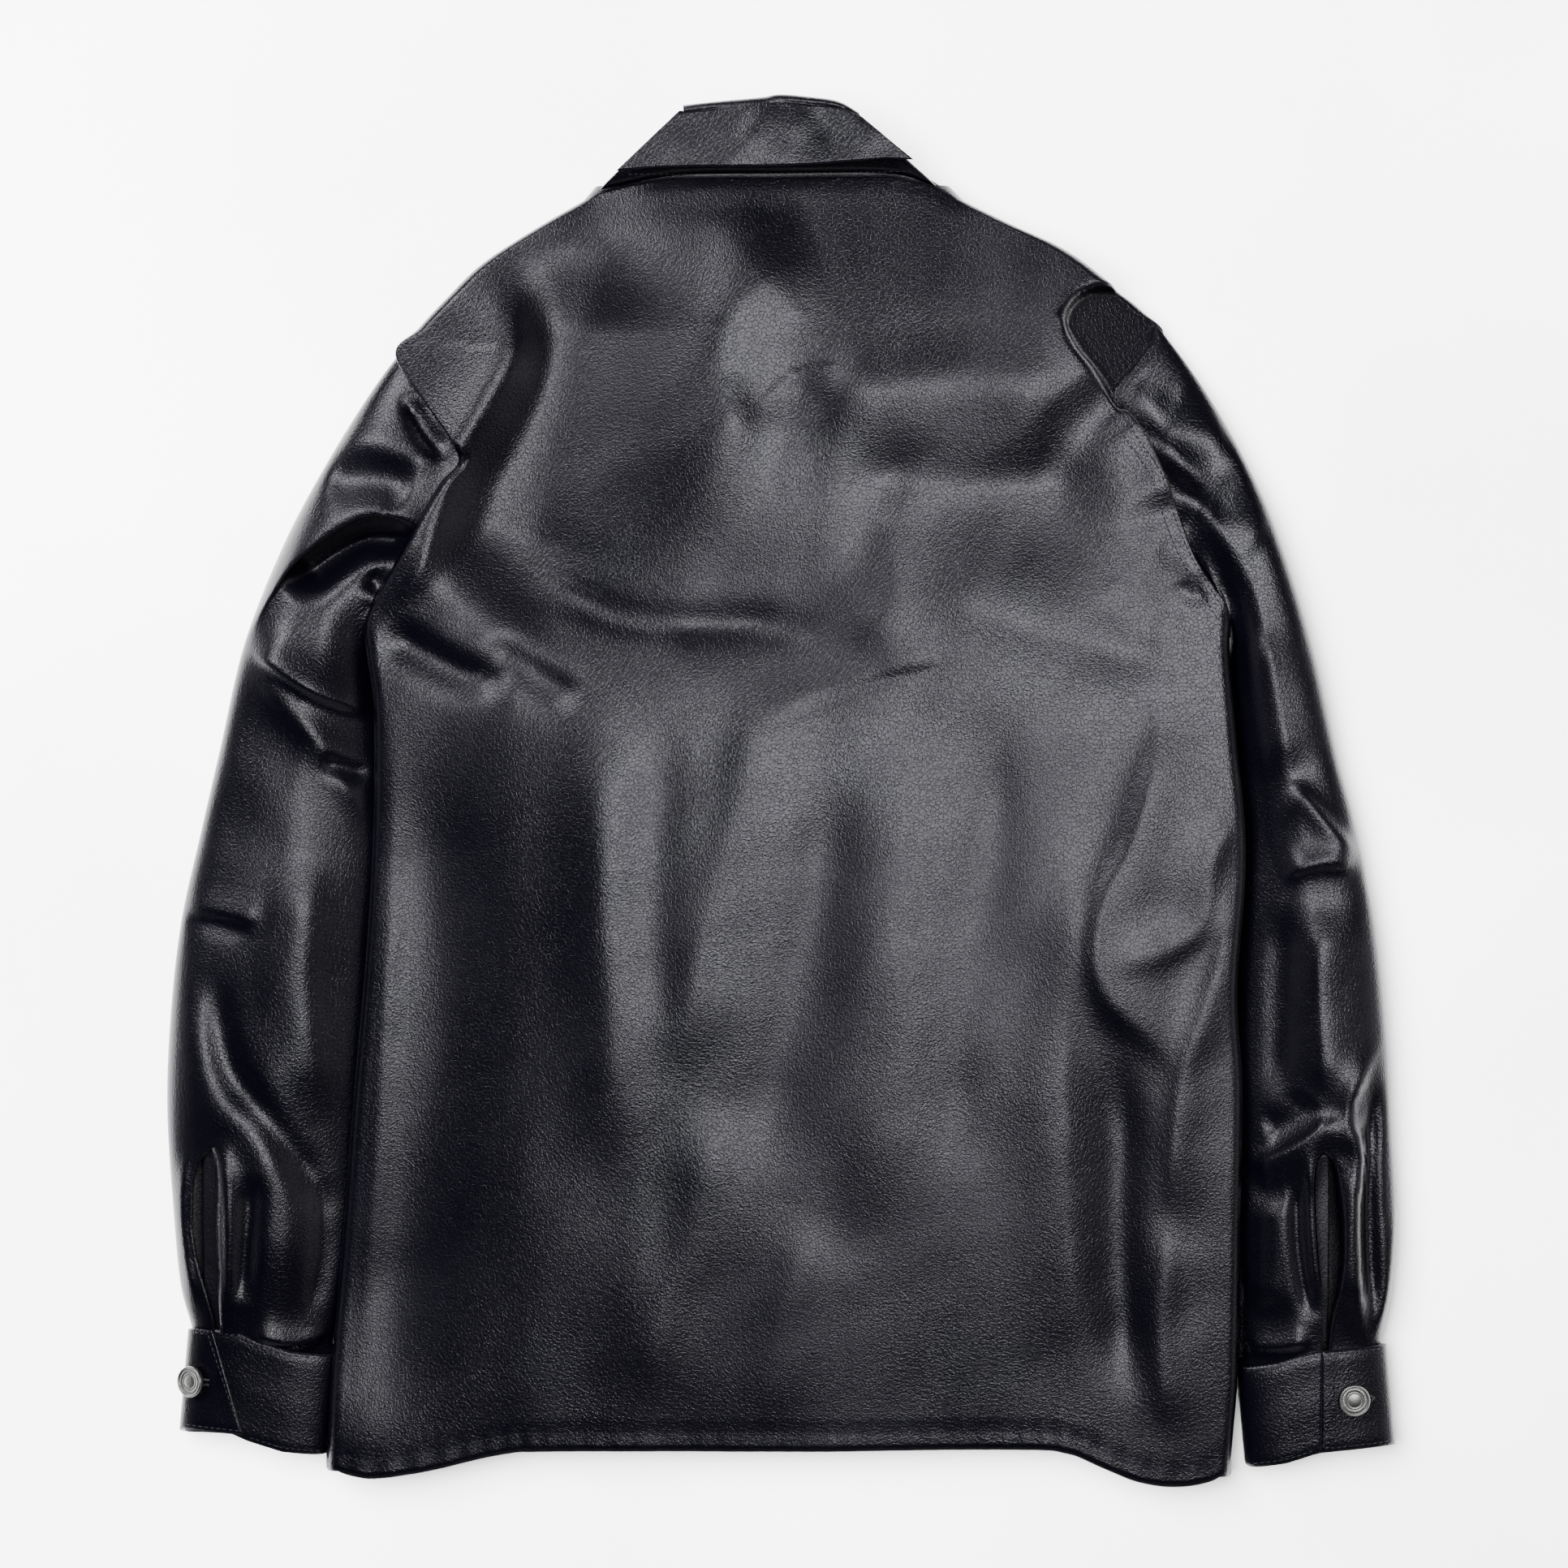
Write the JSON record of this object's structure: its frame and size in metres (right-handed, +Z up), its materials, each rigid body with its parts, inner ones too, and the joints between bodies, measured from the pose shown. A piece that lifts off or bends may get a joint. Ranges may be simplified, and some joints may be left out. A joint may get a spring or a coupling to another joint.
{
  "type": "leather shirt jacket",
  "caption": "Long-sleeved black leather shirt jacket with a turned-down collar, button front and buttoned cuffs, lying flat on its front.",
  "frame": {"origin": "bottom centre of the box round the jacket as it lies on its front", "axes": "+Z up from the surface the jacket lies on, out of its back; +Y from hem to collar; +X to the wearer's right"},
  "size_m": [0.698, 0.783, 0.0404],
  "materials": {
    "body_leather": "smooth semi-gloss black leather with fine grain",
    "collar_leather": "smooth semi-gloss black leather with fine grain",
    "leather_inside": "duller black leather facing",
    "button_metal": "antique silver, darker in its hollows"
  },
  "bodies": {
    "torso": {"back_panel": "body_leather", "back_neck_facing": "leather_inside", "collar_stand": "collar_leather", "left_front_panel": "body_leather", "right_front_panel": "body_leather"},
    "left_front": {"left_front_edge": "body_leather", "left_front_facing": "leather_inside", "left_collar_end": "collar_leather"},
    "right_front": {"right_front_edge": "body_leather", "right_front_facing": "leather_inside", "right_collar_end": "collar_leather", "front_button_tacks": "button_metal"},
    "collar_fall": {"under_collar": "leather_inside", "upper_collar": "collar_leather"},
    "left_sleeve": {"left_sleeve": "body_leather", "left_sleeve_placket": "leather_inside", "left_cuff": "body_leather", "left_cuff_facing": "leather_inside", "left_cuff_tack": "button_metal"},
    "right_sleeve": {"right_sleeve": "body_leather", "right_sleeve_placket": "leather_inside", "right_cuff": "body_leather", "right_cuff_facing": "leather_inside", "right_cuff_tack": "button_metal"},
    "front_button_1": {"front_button_cap_1": "button_metal"},
    "front_button_2": {"front_button_cap_2": "button_metal"},
    "front_button_3": {"front_button_cap_3": "button_metal"},
    "front_button_4": {"front_button_cap_4": "button_metal"},
    "front_button_5": {"front_button_cap_5": "button_metal"},
    "front_button_6": {"front_button_cap_6": "button_metal"},
    "left_cuff_button": {"left_cuff_button_cap": "button_metal"},
    "right_cuff_button": {"right_cuff_button_cap": "button_metal"}
  },
  "joints": [
    {"name": "left_front_fold", "type": "hinge", "parent": "torso", "child": "left_front", "pos_m": [-0.106, 0, 0], "axis": [0, 1, 0], "range_deg": [0, 150]},
    {"name": "right_front_fold", "type": "hinge", "parent": "torso", "child": "right_front", "pos_m": [0.106, 0, 0], "axis": [0, -1, 0], "range_deg": [0, 112.5]},
    {"name": "collar_turn_up", "type": "hinge", "parent": "torso", "child": "collar_fall", "pos_m": [0, 0.3891, 0.038], "axis": [-1, 0, 0], "range_deg": [0, 165]},
    {"name": "left_sleeve_swing", "type": "hinge", "parent": "torso", "child": "left_sleeve", "pos_m": [-0.206, 0.247, 0], "axis": [0, 0, 1], "range_deg": [-30, 0]},
    {"name": "right_sleeve_swing", "type": "hinge", "parent": "torso", "child": "right_sleeve", "pos_m": [0.204, 0.26, 0], "axis": [0, 0, 1], "range_deg": [0, 30]},
    {"name": "front_button_1_turn", "type": "hinge", "parent": "right_front", "child": "front_button_1", "pos_m": [0, 0.215, 0.006], "axis": [0, 0, -1], "continuous": true},
    {"name": "front_button_2_turn", "type": "hinge", "parent": "right_front", "child": "front_button_2", "pos_m": [0, 0.12, 0.006], "axis": [0, 0, -1], "continuous": true},
    {"name": "front_button_3_turn", "type": "hinge", "parent": "right_front", "child": "front_button_3", "pos_m": [0, 0.025, 0.006], "axis": [0, 0, -1], "continuous": true},
    {"name": "front_button_4_turn", "type": "hinge", "parent": "right_front", "child": "front_button_4", "pos_m": [0, -0.07, 0.006], "axis": [0, 0, -1], "continuous": true},
    {"name": "front_button_5_turn", "type": "hinge", "parent": "right_front", "child": "front_button_5", "pos_m": [0, -0.165, 0.006], "axis": [0, 0, -1], "continuous": true},
    {"name": "front_button_6_turn", "type": "hinge", "parent": "right_front", "child": "front_button_6", "pos_m": [0, -0.26, 0.006], "axis": [0, 0, -1], "continuous": true},
    {"name": "left_cuff_button_turn", "type": "hinge", "parent": "left_sleeve", "child": "left_cuff_button", "pos_m": [-0.33404, -0.33187, 0.02572], "axis": [-0.5279, 0.0462, 0.848], "continuous": true},
    {"name": "right_cuff_button_turn", "type": "hinge", "parent": "right_sleeve", "child": "right_cuff_button", "pos_m": [0.32237, -0.34208, 0.028], "axis": [0, 0, 1], "continuous": true}
  ],
  "couplings": [
    {"joint": "right_front_fold", "follows": "left_front_fold", "ratio": 0.75}
  ]
}
